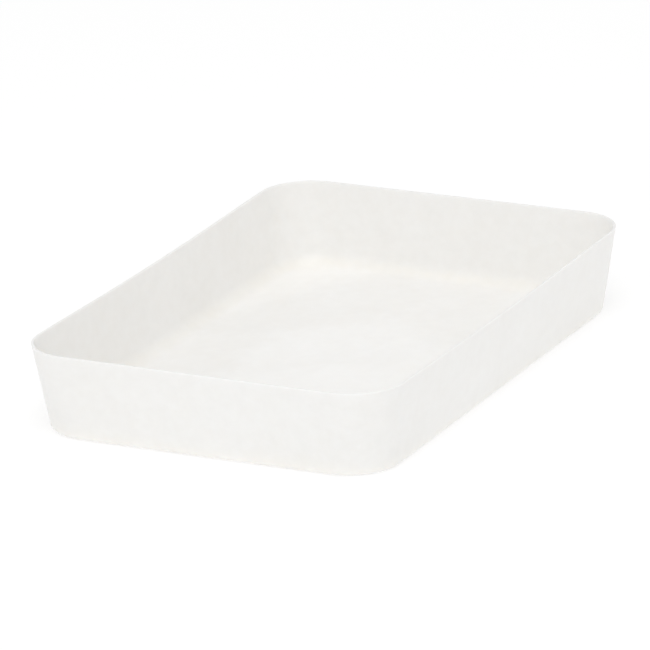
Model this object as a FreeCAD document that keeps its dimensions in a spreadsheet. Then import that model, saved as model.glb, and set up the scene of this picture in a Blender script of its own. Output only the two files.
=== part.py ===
import FreeCAD, Part
import math
import os

import Sketcher

# A plain, shallow, open-topped paint roller tray, injection moulded in one piece.
# Millimetres, +Z up. The tray is centred on the origin, its long side lies along Y,
# and the flat land round its underside stands on z = 0.

SIZES = {
    "tray_length": 360.0,
    "tray_width": 241.0,
    "tray_height": 54.5,
    "wall_thickness": 1.7,
    "floor_thickness": 1.8,
    # How far each wall leans in from the rim to the base, so that the tray leaves its mould.
    "base_inset": 7.5,
    "rim_corner_radius": 32.5,
    "base_corner_radius": 31.0,
    # The rounded edges: outside round the base, inside round the floor, and along the rim.
    "base_edge_radius": 4.5,
    "floor_edge_radius": 10.0,
    "rim_edge_radius": 0.6,
    # The long walls sag a little, so the rim is lowest halfway along them.
    "rim_dip": 1.7,
    # How far the two mould halves run on past the rim before they are trimmed to it.
    "trim": 2.0,
    # The floor is raised in an oval, so that the tray stands on the land round it.
    "crown_height": 1.0,
    "crown_half_width": 96.0,
    "crown_half_length": 155.0,
    # Half the height of the flat ellipsoid whose top is the raised oval.
    "crown_depth": 60.0,
    # The stub under the middle of the floor, where the plastic was injected.
    "gate_diameter": 4.0,
    "gate_height": 0.5,
}

# What a sketch constraint calls the ends and centre of a curve, and the sketch's own origin and axis.
START, END, CENTRE = 1, 2, 3
ORIGIN = -1
UPRIGHT_AXIS = -2

QUARTER = math.pi / 2


def make_sheet(doc):
    sheet = doc.addObject("Spreadsheet::Sheet", "sizes")
    for row, (alias, value) in enumerate(SIZES.items(), start=1):
        sheet.set(f"A{row}", alias)
        sheet.set(f"B{row}", str(value))
        sheet.setAlias(f"B{row}", alias)
    doc.recompute()


def make_body(doc, name):
    body = doc.addObject("PartDesign::Body", name)
    body.Label = name
    body.Placement = FreeCAD.Placement()
    return body


def plane_of(body, role):
    return next(plane for plane in body.Origin.OriginFeatures if plane.Role == role)


def add_sketch(body, name, role, height="0"):
    sketch = body.newObject("Sketcher::SketchObject", name)
    sketch.AttachmentSupport = (plane_of(body, role), "")
    sketch.MapMode = "FlatFace"
    sketch.setExpression("AttachmentOffset.Base.z", height)
    return sketch


def draw_line(sketch, begin, finish):
    sketch.addGeometry(Part.LineSegment(FreeCAD.Vector(*begin, 0), FreeCAD.Vector(*finish, 0)), False)


def draw_arc(sketch, centre, radius, begin, finish):
    circle = Part.Circle(FreeCAD.Vector(*centre, 0), FreeCAD.Vector(0, 0, 1), radius)
    sketch.addGeometry(Part.ArcOfCircle(circle, begin, finish), False)


def join(sketch, joins):
    for constraint in joins:
        sketch.addConstraint(Sketcher.Constraint(*constraint))


def size(sketch, name, constraint, expression):
    index = sketch.addConstraint(Sketcher.Constraint(*constraint))
    sketch.renameConstraint(index, name)
    sketch.setExpression(f"Constraints.{name}", expression)


def draw_rounded_rectangle(sketch, half_width, half_length, corner):
    """Four sides joined by four equal tangent arcs, centred on the origin."""
    right, rear_right, rear, rear_left, left, front_left, front, front_right = range(8)
    x, y, r = 100.0, 150.0, 30.0
    sides = [
        ((x, r - y), (x, y - r), (x - r, y - r)),
        ((x - r, y), (r - x, y), (r - x, y - r)),
        ((-x, y - r), (-x, r - y), (r - x, r - y)),
        ((r - x, -y), (x - r, -y), (x - r, r - y)),
    ]
    for turn, (begin, finish, corner_centre) in enumerate(sides):
        draw_line(sketch, begin, finish)
        draw_arc(sketch, corner_centre, r, turn * QUARTER, (turn + 1) * QUARTER)
    join(sketch, [("Tangent", piece, END, (piece + 1) % 8, START) for piece in range(8)])
    join(sketch, [("Vertical", right), ("Vertical", left), ("Horizontal", rear), ("Horizontal", front)])
    join(sketch, [("Equal", rear_right, other) for other in (rear_left, front_left, front_right)])
    size(sketch, "right", ("DistanceX", ORIGIN, START, right, START, x), half_width)
    size(sketch, "left", ("DistanceX", left, START, ORIGIN, START, x), half_width)
    size(sketch, "rear", ("DistanceY", ORIGIN, START, rear, START, y), half_length)
    size(sketch, "front", ("DistanceY", front, START, ORIGIN, START, y), half_length)
    size(sketch, "corner", ("Radius", rear_right, r), corner)


def lowest_face(shape):
    heights = [face.CenterOfMass.z for face in shape.Faces]
    return f"Face{heights.index(min(heights)) + 1}"


def add_leaning_walls(doc, body, wall, floor):
    """A block whose rounded outline widens from the floor to past the rim."""
    outlines = [
        ("rim_outline", "(sizes.tray_height + sizes.trim)", "sizes.rim_corner_radius"),
        ("base_outline", floor, "sizes.base_corner_radius"),
    ]
    sketches = []
    for name, height, corner in outlines:
        sketch = add_sketch(body, f"{body.Name}_{name}", "XY_Plane", height)
        margin = f"({wall} + sizes.base_inset * (1 - {height} / sizes.tray_height))"
        half_width = f"sizes.tray_width / 2 - {margin}"
        half_length = f"sizes.tray_length / 2 - {margin}"
        draw_rounded_rectangle(sketch, half_width, half_length, f"{corner} - {wall}")
        sketches.append(sketch)
    loft = body.newObject("PartDesign::AdditiveLoft", f"{body.Name}_walls")
    loft.Profile = sketches[0]
    loft.Sections = sketches[1:]
    loft.Ruled = True
    doc.recompute()
    return loft


def round_lowest_edge(doc, body, loft, radius):
    fillet = body.newObject("PartDesign::Fillet", f"{body.Name}_low_edge")
    fillet.Base = (loft, [lowest_face(loft.Shape)])
    fillet.setExpression("Radius", radius)
    doc.recompute()


def raise_floor(doc, body, floor):
    """Takes the top of a flat ellipsoid out of the block's underside."""
    crown = body.newObject("PartDesign::SubtractiveEllipsoid", f"{body.Name}_crown")
    crown.AttachmentSupport = (plane_of(body, "XY_Plane"), "")
    crown.MapMode = "FlatFace"
    # The share of the ellipsoid's full width and length that it has at the floor.
    share = "sqrt(1 - (1 - sizes.crown_height / sizes.crown_depth) ^ 2)"
    crown.setExpression("AttachmentOffset.Base.z", f"{floor} + sizes.crown_height - sizes.crown_depth")
    crown.setExpression("Radius1", "sizes.crown_depth")
    crown.setExpression("Radius2", f"sizes.crown_half_width / {share}")
    crown.setExpression("Radius3", f"sizes.crown_half_length / {share}")
    doc.recompute()


def make_mould_half(doc, name, wall, floor, low_radius):
    """The form of the tray's outside, or of its inside when drawn in by a wall and a floor."""
    body = make_body(doc, name)
    loft = add_leaning_walls(doc, body, wall, floor)
    round_lowest_edge(doc, body, loft, low_radius)
    raise_floor(doc, body, floor)
    return body


def hollow_out(doc, tray, inside):
    cut = tray.newObject("PartDesign::Boolean", "hollow")
    cut.Type = "Cut"
    cut.addObject(inside)
    doc.recompute()


def draw_rim_line(sketch):
    """The rim from the side, closed above it: level at the ends and lowest halfway along.

    A hollow arc lies between two raised arcs of half its radius and two level ends, all tangent.
    """
    rear_end, rear_side, lid, front_side, front_end, front_arc, dip_arc, rear_arc = range(8)
    far, near, rim, over = 182.0, 164.0, 54.0, 4.0
    hollow, raised = 6000.0, 3000.0
    turn = math.asin(near / (hollow + raised))
    dip_centre = rim - raised + (hollow + raised) * math.cos(turn)
    corners = [(near, rim), (far, rim), (far, rim + over), (-far, rim + over), (-far, rim), (-near, rim)]
    for begin, finish in zip(corners, corners[1:]):
        draw_line(sketch, begin, finish)
    draw_arc(sketch, (-near, rim - raised), raised, QUARTER - turn, QUARTER)
    draw_arc(sketch, (0, dip_centre), hollow, 3 * QUARTER - turn, 3 * QUARTER + turn)
    draw_arc(sketch, (near, rim - raised), raised, QUARTER, QUARTER + turn)
    join(sketch, [("Coincident", line, END, line + 1, START) for line in range(rear_end, front_end)])
    join(sketch, [("Horizontal", line) for line in (rear_end, lid, front_end)])
    join(sketch, [("Vertical", line) for line in (rear_side, front_side)])
    tangents = [
        (front_end, END, front_arc, END),
        (front_arc, START, dip_arc, START),
        (dip_arc, END, rear_arc, END),
        (rear_arc, START, rear_end, START),
    ]
    join(sketch, [("Tangent", *ends) for ends in tangents])
    join(sketch, [("PointOnObject", dip_arc, CENTRE, UPRIGHT_AXIS), ("Equal", front_arc, rear_arc)])
    join(sketch, [("Symmetric", rear_side, START, front_side, END, UPRIGHT_AXIS)])
    half_span = "(sizes.tray_length - sizes.rim_corner_radius) / 2"
    both_radii = f"(({half_span}) ^ 2 + sizes.rim_dip ^ 2) / (2 * sizes.rim_dip)"
    half_length = "sizes.tray_length / 2 + sizes.trim"
    size(sketch, "half_span", ("DistanceX", ORIGIN, START, rear_end, START, near), half_span)
    size(sketch, "half_length", ("DistanceX", ORIGIN, START, rear_end, END, far), half_length)
    size(sketch, "rim", ("DistanceY", ORIGIN, START, rear_end, START, rim), "sizes.tray_height")
    size(sketch, "over", ("DistanceY", rear_side, START, rear_side, END, over), "2 * sizes.trim")
    size(sketch, "hollow", ("Radius", dip_arc, hollow), f"{both_radii} * 2 / 3")
    size(sketch, "raised", ("Radius", rear_arc, raised), f"{both_radii} / 3")


def trim_rim(doc, tray):
    sketch = add_sketch(tray, "rim_line", "YZ_Plane")
    draw_rim_line(sketch)
    trim = tray.newObject("PartDesign::Pocket", "rim_trim")
    trim.Profile = sketch
    trim.Type = "ThroughAll"
    trim.Midplane = True
    doc.recompute()


def add_gate(doc, tray):
    """The gate's stub ends above what the tray stands on."""
    sketch = add_sketch(tray, "gate_outline", "XY_Plane", "sizes.crown_height - sizes.gate_height")
    circle = Part.Circle(FreeCAD.Vector(0, 0, 0), FreeCAD.Vector(0, 0, 1), 2.0)
    sketch.addGeometry(circle, False)
    join(sketch, [("Coincident", 0, CENTRE, ORIGIN, START)])
    size(sketch, "gate", ("Diameter", 0, 4.0), "sizes.gate_diameter")
    stub = tray.newObject("PartDesign::Pad", "gate_stub")
    stub.Profile = sketch
    stub.setExpression("Length", "sizes.gate_height + sizes.floor_thickness / 2")
    doc.recompute()


def round_rim(doc, tray):
    """Rounds the rim's two edges, outside and inside."""
    base = tray.Tip
    below_rim = SIZES["tray_height"] - SIZES["rim_dip"] - SIZES["rim_edge_radius"]
    numbered = enumerate(base.Shape.Edges, start=1)
    edges = [f"Edge{number}" for number, edge in numbered if edge.BoundBox.ZMin > below_rim]
    fillet = tray.newObject("PartDesign::Fillet", "rim_edge")
    fillet.Base = (base, edges)
    fillet.setExpression("Radius", "sizes.rim_edge_radius")
    doc.recompute()


def check(doc, tray):
    """Stops if a feature failed, or took away what it should add, or added what it should take away."""
    for feature in doc.Objects:
        if "Invalid" in feature.State or "Error" in feature.State:
            raise ValueError(f"{feature.Name} is {feature.State}")
        base = getattr(feature, "BaseFeature", None)
        if base is None:
            continue
        grows = feature.Shape.Volume > base.Shape.Volume
        if grows != (feature.TypeId == "PartDesign::Pad"):
            raise ValueError(f"{feature.Name} changed the volume the wrong way")
    if tray.Shape.isNull() or not tray.Shape.isValid() or len(tray.Shape.Solids) != 1:
        raise ValueError(f"{tray.Label} is not one valid solid")


def main():
    doc = FreeCAD.newDocument("paint_roller_tray")
    make_sheet(doc)
    tray = make_mould_half(doc, "tray", "0", "0", "sizes.base_edge_radius")
    inside = make_mould_half(
        doc, "inside", "sizes.wall_thickness", "sizes.floor_thickness", "sizes.floor_edge_radius"
    )
    hollow_out(doc, tray, inside)
    trim_rim(doc, tray)
    add_gate(doc, tray)
    round_rim(doc, tray)
    check(doc, tray)
    os.makedirs("parts", exist_ok=True)
    tray.Shape.exportStep(f"parts/{tray.Label}.step")
    print(f"{tray.Label}: {tray.Shape.Volume:.0f} mm3, {len(tray.Shape.Faces)} faces")


main()
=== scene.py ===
import math

import bmesh
import bpy
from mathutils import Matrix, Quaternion, Vector


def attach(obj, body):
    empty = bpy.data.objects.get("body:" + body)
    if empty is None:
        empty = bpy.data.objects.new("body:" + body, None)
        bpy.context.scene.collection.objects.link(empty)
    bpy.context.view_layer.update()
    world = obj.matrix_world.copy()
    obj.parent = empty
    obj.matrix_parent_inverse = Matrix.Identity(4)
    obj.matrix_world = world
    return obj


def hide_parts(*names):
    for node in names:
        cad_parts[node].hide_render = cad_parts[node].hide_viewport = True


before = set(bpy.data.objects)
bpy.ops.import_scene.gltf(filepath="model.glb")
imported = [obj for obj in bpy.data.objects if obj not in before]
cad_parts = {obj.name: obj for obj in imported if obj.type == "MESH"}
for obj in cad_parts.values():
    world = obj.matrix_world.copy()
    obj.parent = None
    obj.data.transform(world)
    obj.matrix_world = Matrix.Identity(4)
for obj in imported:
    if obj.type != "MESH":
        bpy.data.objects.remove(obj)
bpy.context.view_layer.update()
MM = 0.001

# ---------------------------------------------------------------------------------------------
# The tray: one thin wall of polypropylene, injection moulded through a gate under the middle of
# the floor. Its walls lean out so that it leaves the mould, and its rim is the plain edge where
# the two halves of the mould meet. Inside, a wide fillet joins the walls to the floor.

half_width = 120.5 * MM
half_length = 180 * MM
height = 54.5 * MM
wall_thickness = 1.7 * MM
floor_thickness = 1.8 * MM
base_inset = 7.5 * MM
rim_corner = 32.5 * MM
base_corner = 31 * MM
outer_edge_radius = 4.5 * MM
inner_edge_radius = 10 * MM
rim_edge_radius = 0.6 * MM
lean = math.atan(base_inset / height)
# Two places nearer than this count as one when parts of the mesh are selected.
nearness = 0.01 * MM


def select(obj, mode, test):
    """Selects the vertices, edges or faces that pass the test, and nothing else."""
    bpy.ops.mesh.select_mode(type=mode)
    bpy.ops.mesh.select_all(action="DESELECT")
    mesh = bmesh.from_edit_mesh(obj.data)
    items = {"VERT": mesh.verts, "EDGE": mesh.edges, "FACE": mesh.faces}[mode]
    for item in items:
        item.select_set(bool(test(item)))
    bmesh.update_edit_mesh(obj.data)


def level(item, *heights):
    """Whether an edge or face lies flat at one of the heights."""
    return any(all(abs(vertex.co.z - z) < nearness for vertex in item.verts) for z in heights)


def along(edge, axis):
    """Whether an edge runs along an axis."""
    reach = edge.verts[1].co - edge.verts[0].co
    return abs(abs(reach[axis]) - reach.length) < nearness / 10


def steep(edge):
    """Whether an edge climbs most of the way up a wall."""
    return abs(edge.verts[0].co.z - edge.verts[1].co.z) > height / 2


def add_outline(margin, corner, z):
    """Adds a flat plane with its corners bevelled round, and keeps only its outline."""
    bpy.ops.mesh.primitive_plane_add(size=2, location=(0, 0, z))
    bpy.ops.transform.resize(value=(half_width - margin, half_length - margin, 1))
    bpy.ops.mesh.bevel(offset=corner, segments=20, affect="VERTICES")
    bpy.ops.mesh.delete(type="ONLY_FACE")


bpy.ops.object.select_all(action="DESELECT")
bpy.ops.mesh.primitive_plane_add(size=1)
tray = bpy.context.object
tray.name = tray.data.name = "tray_moulding"
bpy.ops.object.mode_set(mode="EDIT")
bpy.ops.mesh.delete(type="VERT")

# Four outlines, bridged in turn: the outside's base and rim, then the inside's rim and floor.
# The inner rim starts above the outer one, so that the bridge between them can't twist.
lift = 5 * MM
inner_foot = wall_thickness + base_inset * (1 - floor_thickness / height)
add_outline(base_inset, base_corner, 0)
add_outline(0, rim_corner, height)
add_outline(wall_thickness, rim_corner - wall_thickness, height + lift)
add_outline(inner_foot, base_corner - wall_thickness, floor_thickness)
# The long sides sag and the floor is raised, so the straight sides are cut about every 12 mm.
for axis, cuts in ((0, 13), (1, 23)):
    select(tray, "EDGE", lambda edge: along(edge, axis))
    bpy.ops.mesh.subdivide(number_cuts=cuts)
for ends in ((0, height), (height, height + lift), (height + lift, floor_thickness)):
    select(tray, "EDGE", lambda edge: level(edge, *ends))
    bpy.ops.mesh.bridge_edge_loops()
for z in (0, floor_thickness):
    select(tray, "EDGE", lambda edge: level(edge, z))
    bpy.ops.mesh.edge_face_add()
select(tray, "VERT", lambda vertex: vertex.co.z > height + lift / 2)
bpy.ops.transform.translate(value=(0, 0, -lift))
bpy.ops.mesh.select_all(action="SELECT")
bpy.ops.mesh.normals_make_consistent(inside=False)

# A fillet starts this share of its radius from the edge where floor and wall would meet.
fillet_share = math.tan((math.pi / 2 - lean) / 2)
for z, radius in ((0, outer_edge_radius), (floor_thickness, inner_edge_radius)):
    select(tray, "EDGE", lambda edge: level(edge, z))
    bpy.ops.mesh.bevel(offset=radius * fillet_share, segments=10, affect="EDGES")
select(tray, "EDGE", steep)
bpy.ops.mesh.subdivide(number_cuts=7)

# Each side of the floor is rings, smaller copies of its outline, in to a round one at the gate.
ring_count = 16
border = 2 * MM
gate_radius = 2 * MM
for z in (floor_thickness, 0):
    select(tray, "FACE", lambda face: level(face, z) and len(face.verts) > 4)
    bpy.ops.mesh.inset(thickness=border)
    for ring in range(ring_count, 1, -1):
        bpy.ops.mesh.extrude_region_move()
        shrink = (ring - 1) / ring
        bpy.ops.transform.resize(value=(shrink, shrink, 1))
    bpy.ops.mesh.extrude_region_move()
    bpy.ops.transform.tosphere(value=1)
    mesh = bmesh.from_edit_mesh(tray.data)
    shrink = gate_radius / max(vertex.co.xy.length for vertex in mesh.verts if vertex.select)
    bpy.ops.transform.resize(value=(shrink, shrink, 1))

# The gate's stub hangs 0.5 mm below the underside, with a chamfer round it and a dimple where
# it was cut off.
stub_side = 0.4 * MM
chamfer_width = 0.2 * MM
chamfer_drop = 0.1 * MM
stub_land = 0.6 * MM
dimple_slope = 0.3 * MM
dimple_depth = 0.15 * MM
bpy.ops.mesh.extrude_region_move()
bpy.ops.transform.translate(value=(0, 0, -stub_side))
bpy.ops.mesh.inset(thickness=chamfer_width, depth=chamfer_drop)
bpy.ops.mesh.inset(thickness=stub_land)
bpy.ops.mesh.inset(thickness=dimple_slope, depth=-dimple_depth)

# The floor is raised 1 mm in an oval, so that the tray stands on the flat land round it, and
# the long sides of the rim sag 1.7 mm, along a curve that is flat at its middle and its ends.
crown_height = 1 * MM
crown_half_width = 96 * MM
crown_half_length = 155 * MM
rim_sag = 1.7 * MM
sag_half_span = half_length - rim_corner / 2


def sag_share(y):
    """How much of the full sag the rim has at a place along its length."""
    share = min(1, abs(y) / sag_half_span)
    return 3 * (1 - share) ** 2 if share > 2 / 3 else 1 - 1.5 * share**2


mesh = bmesh.from_edit_mesh(tray.data)
for vertex in mesh.verts:
    out = math.hypot(vertex.co.x / crown_half_width, vertex.co.y / crown_half_length)
    if vertex.co.z < floor_thickness + nearness and out < 1:
        vertex.co.z += crown_height * (1 + math.cos(math.pi * out)) / 2
    if vertex.co.z > height - nearness:
        fall = rim_sag * sag_share(vertex.co.y)
        vertex.co.z -= fall
        if abs(vertex.co.x) > half_width - rim_corner:
            vertex.co.x -= math.copysign(fall * math.tan(lean), vertex.co.x)
bmesh.update_edit_mesh(tray.data)

# Both edges of the rim are rounded.
select(tray, "FACE", lambda face: face.normal.z > 0.9 and face.calc_center_median().z > height / 2)
bpy.ops.mesh.region_to_loop()
bpy.ops.mesh.bevel(offset=rim_edge_radius, segments=4, affect="EDGES")
bpy.ops.object.mode_set(mode="OBJECT")
bpy.ops.object.shade_smooth_by_angle(angle=math.radians(40))

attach(tray, "root")
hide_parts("tray")


def colour(hex_code):
    """A colour's linear values from its sRGB hex."""
    values = [int(hex_code[place : place + 2], 16) / 255 for place in (0, 2, 4)]
    linear = [v / 12.92 if v <= 0.04045 else ((v + 0.055) / 1.055) ** 2.4 for v in values]
    return (*linear, 1)


def add_node(tree, kind, settings, links=()):
    """Adds a node with its settings and the sockets that feed it."""
    node = tree.nodes.new(kind)
    for name, value in settings.items():
        if isinstance(name, int) or name in node.inputs:
            node.inputs[name].default_value = value
        else:
            setattr(node, name, value)
    for name, source in links:
        tree.links.new(source, node.inputs[name])
    return node


# Natural polypropylene, moulded: a clear resin that its own crystals turn milky, so light soaks
# through the thin walls, warms a little on the way and softens every shade.
plastic = bpy.data.materials.new("natural_polypropylene_moulded")
plastic.use_nodes = True
nodes = plastic.node_tree
shader = nodes.nodes["Principled BSDF"]
shader.inputs["IOR"].default_value = 1.49
shader.inputs["Subsurface Weight"].default_value = 1
shader.inputs["Subsurface Radius"].default_value = (1, 0.96, 0.92)
shader.inputs["Subsurface Scale"].default_value = 5 * MM
place = add_node(nodes, "ShaderNodeTexCoord", {}).outputs["Object"]

# The resin cools into clouds of more and less milkiness, a hand's breadth down to a few
# millimetres across.
cloud_settings = {"Scale": 1 / (45 * MM), "Detail": 3, "Roughness": 0.55}
clouds = add_node(nodes, "ShaderNodeTexNoise", cloud_settings, [("Vector", place)])
fleck_settings = {"Scale": 1 / (7 * MM), "Detail": 3, "Roughness": 0.6}
flecks = add_node(nodes, "ShaderNodeTexNoise", fleck_settings, [("Vector", place)])
cloud_share = add_node(
    nodes,
    "ShaderNodeMapRange",
    {"From Min": 0.35, "From Max": 0.65, "To Max": 0.3},
    [("Value", clouds.outputs["Fac"])],
)
fleck_share = add_node(
    nodes,
    "ShaderNodeMapRange",
    {"From Min": 0.35, "From Max": 0.65, "To Max": 0.25},
    [("Value", flecks.outputs["Fac"])],
)
mottle = add_node(
    nodes,
    "ShaderNodeMath",
    {"operation": "ADD"},
    [(0, cloud_share.outputs["Result"]), (1, fleck_share.outputs["Result"])],
)

# Painted light: the middle of the floor is painted paler, a painted pool of light, in an oval of
# about
# 125 by 160 mm, whose edge the clouds push in and out.
oval_half_width = 62 * MM
oval_half_length = 80 * MM
push = 0.9
oval = add_node(
    nodes,
    "ShaderNodeMapping",
    {"Scale": (1 / oval_half_width, 1 / oval_half_length, 0)},
    [("Vector", place)],
)
pushed = add_node(
    nodes,
    "ShaderNodeVectorMath",
    {"operation": "MULTIPLY_ADD", 1: (push, push, 0)},
    [(0, clouds.outputs["Color"]), (2, oval.outputs["Vector"])],
)
centred = add_node(
    nodes,
    "ShaderNodeVectorMath",
    {"operation": "ADD", 1: (-push / 2, -push / 2, 0)},
    [(0, pushed.outputs[0])],
)
spread = add_node(
    nodes, "ShaderNodeVectorMath", {"operation": "LENGTH"}, [(0, centred.outputs[0])]
)
painted_light_oval = add_node(
    nodes,
    "ShaderNodeMapRange",
    {"From Min": 1.15, "From Max": 0.85, "To Min": 0, "To Max": 0.3},
    [("Value", spread.outputs["Value"])],
)
# The random milkiness and the painted pool of light add up, and choose between the two colours
# below.
milkiness_and_painted_light = add_node(
    nodes,
    "ShaderNodeMath",
    {"operation": "ADD"},
    [(0, mottle.outputs[0]), (1, painted_light_oval.outputs["Result"])],
)
# The sockets 6 and 7 of this node are its two colours, and its output 2 is the mixed one.
milky_colour_and_painted_light = add_node(
    nodes,
    "ShaderNodeMix",
    {"data_type": "RGBA", 6: colour("eeece8"), 7: colour("f6f5f2")},
    [(0, milkiness_and_painted_light.outputs[0])],
)
nodes.links.new(milky_colour_and_painted_light.outputs[2], shader.inputs["Base Color"])

# The spark-eroded mould leaves a satin skin that is a little glossier in places.
sheen = add_node(
    nodes,
    "ShaderNodeMapRange",
    {"From Min": 0.3, "From Max": 0.7, "To Min": 0.32, "To Max": 0.4},
    [("Value", flecks.outputs["Fac"])],
)
nodes.links.new(sheen.outputs["Result"], shader.inputs["Roughness"])

# Its grain is about 0.1 mm across, too fine to show, so it is drawn 1.2 mm across. Under it
# the thin walls cool into shallow waves about 70 mm long.
grain = add_node(
    nodes, "ShaderNodeTexNoise", {"Scale": 1 / (1.2 * MM), "Detail": 2}, [("Vector", place)]
)
waves = add_node(
    nodes, "ShaderNodeTexNoise", {"Scale": 1 / (70 * MM), "Detail": 1}, [("Vector", place)]
)
wavy = add_node(
    nodes,
    "ShaderNodeBump",
    {"Strength": 1, "Distance": 0.5 * MM},
    [("Height", waves.outputs["Fac"])],
)
grained = add_node(
    nodes,
    "ShaderNodeBump",
    {"Strength": 1, "Distance": 0.012 * MM},
    [("Height", grain.outputs["Fac"]), ("Normal", wavy.outputs["Normal"])],
)
nodes.links.new(grained.outputs["Normal"], shader.inputs["Normal"])
tray.data.materials.append(plastic)

# ---------------------------------------------------------------------------------------------
# What the tray stands on: a white acrylic shooting table, lit from beneath, which leaves the
# tray hardly any shadow.

bpy.ops.mesh.primitive_plane_add(size=30)
table = bpy.context.object
table.name = "studio_table"
white = bpy.data.materials.new("white_acrylic_table")
white.use_nodes = True
table_shader = white.node_tree.nodes["Principled BSDF"]
table_shader.inputs["Base Color"].default_value = colour("b4b4b4")
table_shader.inputs["Roughness"].default_value = 0.9
table_shader.inputs["Specular IOR Level"].default_value = 0
table_shader.inputs["Emission Color"].default_value = (1, 1, 1, 1)
table_shader.inputs["Emission Strength"].default_value = 0.59
table.data.materials.append(white)

# ---------------------------------------------------------------------------------------------
# The light: a white room, and two large soft panels, one above the camera and one high over the
# front of the tray.

world = bpy.data.worlds.new("white_room")
world.use_nodes = True
world.node_tree.nodes["Background"].inputs["Color"].default_value = (1, 1, 1, 1)
world.node_tree.nodes["Background"].inputs["Strength"].default_value = 0.64
bpy.context.scene.world = world
bpy.context.scene.view_settings.view_transform = "Standard"


def direction(azimuth, elevation):
    """The direction of a place seen from the tray; azimuth 0 is in front of its short side."""
    azimuth = math.radians(azimuth)
    elevation = math.radians(elevation)
    flat = math.cos(elevation)
    return Vector((math.sin(azimuth) * flat, -math.cos(azimuth) * flat, math.sin(elevation)))


def add_panel(name, azimuth, elevation, distance, size, energy):
    """A square soft panel that faces the tray."""
    towards = direction(azimuth, elevation)
    bpy.ops.object.light_add(type="AREA", location=towards * distance)
    panel = bpy.context.object
    panel.name = name
    panel.data.shape = "SQUARE"
    panel.data.size = size
    panel.data.energy = energy
    panel.rotation_euler = towards.to_track_quat("Z", "Y").to_euler()


add_panel("front_panel", azimuth=20, elevation=40, distance=4, size=2.4, energy=29)
add_panel("overhead_panel", azimuth=30, elevation=75, distance=4, size=2.8, energy=40)

# ---------------------------------------------------------------------------------------------
# The camera, a long lens well back, to the right of the tray's short side.

towards_camera = direction(azimuth=26.82, elevation=18.9)
roll = math.radians(-2.03)
distance = 3.948
aim = Vector((-0.0392, 0.0688, 0))
bpy.ops.object.camera_add(location=aim + towards_camera * distance)
camera = bpy.context.object
camera.name = "camera"
camera.data.lens = 354.05
camera.data.clip_end = 60
camera.rotation_mode = "QUATERNION"
camera.rotation_quaternion = (-towards_camera).to_track_quat("-Z", "Y") @ Quaternion((0, 0, 1), roll)
bpy.context.scene.camera = camera
